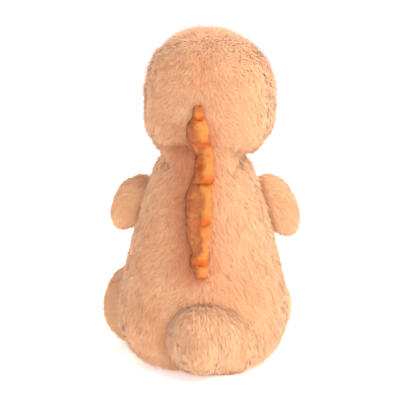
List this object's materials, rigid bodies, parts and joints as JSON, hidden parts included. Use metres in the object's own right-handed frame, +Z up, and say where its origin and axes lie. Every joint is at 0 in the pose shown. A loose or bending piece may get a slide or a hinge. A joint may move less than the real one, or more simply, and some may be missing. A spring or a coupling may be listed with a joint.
{
  "type": "stuffed dinosaur",
  "caption": "Seated plush dinosaur with a round head, stubby arms, splayed legs, a short tail and a scalloped crest down the back.",
  "frame": {"origin": "middle of the flat seat, on the surface that the toy sits on", "axes": "+Z up, the toy looks along -Y, its own left side is +X"},
  "size_m": [0.1683, 0.2057, 0.292],
  "materials": {
    "pile_peach": "long soft pile",
    "pile_light": "long soft pile",
    "crest_plush": "short plush",
    "filling": "loose fibre",
    "pouch_cloth": "plain weave",
    "pellets": "matte",
    "eye_black": "glossy",
    "washer_white": "matte",
    "face_thread": "thread"
  },
  "bodies": {
    "torso": {"torso_back_left": "pile_peach", "torso_back_right": "pile_peach", "torso_side_left": "pile_peach", "torso_side_right": "pile_peach", "torso_belly": "pile_peach", "base_band": "pile_peach", "seat_patch": "pile_light", "torso_filling": "filling", "pellet_pouch": "pouch_cloth", "pellets": "pellets"},
    "neck": {"neck_filling": "filling", "crest_neck_tape": "crest_plush", "crest_neck_cover_left": "crest_plush", "crest_neck_cover_right": "crest_plush", "crest_neck_padding": "filling"},
    "head": {"head_back_left": "pile_peach", "head_back_right": "pile_peach", "head_cheek_left": "pile_peach", "head_cheek_right": "pile_peach", "head_face": "pile_light", "head_filling": "filling", "eye_left": "eye_black", "eye_right": "eye_black", "eye_washer_left": "washer_white", "eye_washer_right": "washer_white", "nostril_threads": "face_thread", "mouth_thread": "face_thread"},
    "arm_left": {"arm_left_outer": "pile_peach", "arm_left_inner": "pile_peach", "arm_left_filling": "filling"},
    "arm_right": {"arm_right_outer": "pile_peach", "arm_right_inner": "pile_peach", "arm_right_filling": "filling"},
    "leg_left": {"leg_left_upper": "pile_peach", "leg_left_under": "pile_peach", "leg_left_sole": "pile_light", "leg_left_filling": "filling"},
    "leg_right": {"leg_right_upper": "pile_peach", "leg_right_under": "pile_peach", "leg_right_sole": "pile_light", "leg_right_filling": "filling"},
    "tail": {"tail_left": "pile_peach", "tail_right": "pile_peach", "tail_under": "pile_peach", "tail_filling": "filling"},
    "crest_back": {"crest_back_cover_left": "crest_plush", "crest_back_cover_right": "crest_plush", "crest_back_padding": "filling"},
    "crest_head": {"crest_head_cover_left": "crest_plush", "crest_head_cover_right": "crest_plush", "crest_head_padding": "filling"}
  },
  "joints": [
    {"name": "neck_turn", "type": "hinge", "parent": "torso", "child": "neck", "pos_m": [0, 0, 0.183], "axis": [0, 0, 1], "range_deg": [-20, 20], "stiffness_Nm_per_rad": 0.6},
    {"name": "neck_nod", "type": "hinge", "parent": "neck", "child": "head", "pos_m": [0, 0, 0.183], "axis": [0.9925, -0.1219, 0], "range_deg": [-6, 14], "stiffness_Nm_per_rad": 1.2},
    {"name": "arm_left_swing", "type": "hinge", "parent": "torso", "child": "arm_left", "pos_m": [0.0541, -0.008, 0.142], "axis": [0.3013, 0, -0.9535], "range_deg": [-35, 18], "stiffness_Nm_per_rad": 0.05},
    {"name": "arm_right_swing", "type": "hinge", "parent": "torso", "child": "arm_right", "pos_m": [-0.0541, -0.008, 0.142], "axis": [0.3013, 0, 0.9535], "range_deg": [-35, 18], "stiffness_Nm_per_rad": 0.05},
    {"name": "leg_left_lift", "type": "hinge", "parent": "torso", "child": "leg_left", "pos_m": [0.0395, -0.066, 0.0365], "axis": [-0.7071, -0.7071, 0], "range_deg": [0, 30], "stiffness_Nm_per_rad": 0.25},
    {"name": "leg_right_lift", "type": "hinge", "parent": "torso", "child": "leg_right", "pos_m": [-0.0395, -0.066, 0.0365], "axis": [-0.9986, 0.0523, 0], "range_deg": [0, 30], "stiffness_Nm_per_rad": 0.25},
    {"name": "tail_wag", "type": "hinge", "parent": "torso", "child": "tail", "pos_m": [0, 0.062, 0.0315], "axis": [0, 0, 1], "range_deg": [-18, 18], "stiffness_Nm_per_rad": 0.1},
    {"name": "crest_back_flop", "type": "hinge", "parent": "torso", "child": "crest_back", "pos_m": [0, 0.05353, 0.1225], "axis": [0, -0.191, 0.9816], "range_deg": [-12, 12], "stiffness_Nm_per_rad": 0.02},
    {"name": "crest_head_flop", "type": "hinge", "parent": "head", "child": "crest_head", "pos_m": [0.00302, 0.04766, 0.2145], "axis": [-0.0887, 0.1124, 0.9897], "range_deg": [-12, 12], "stiffness_Nm_per_rad": 0.02}
  ]
}
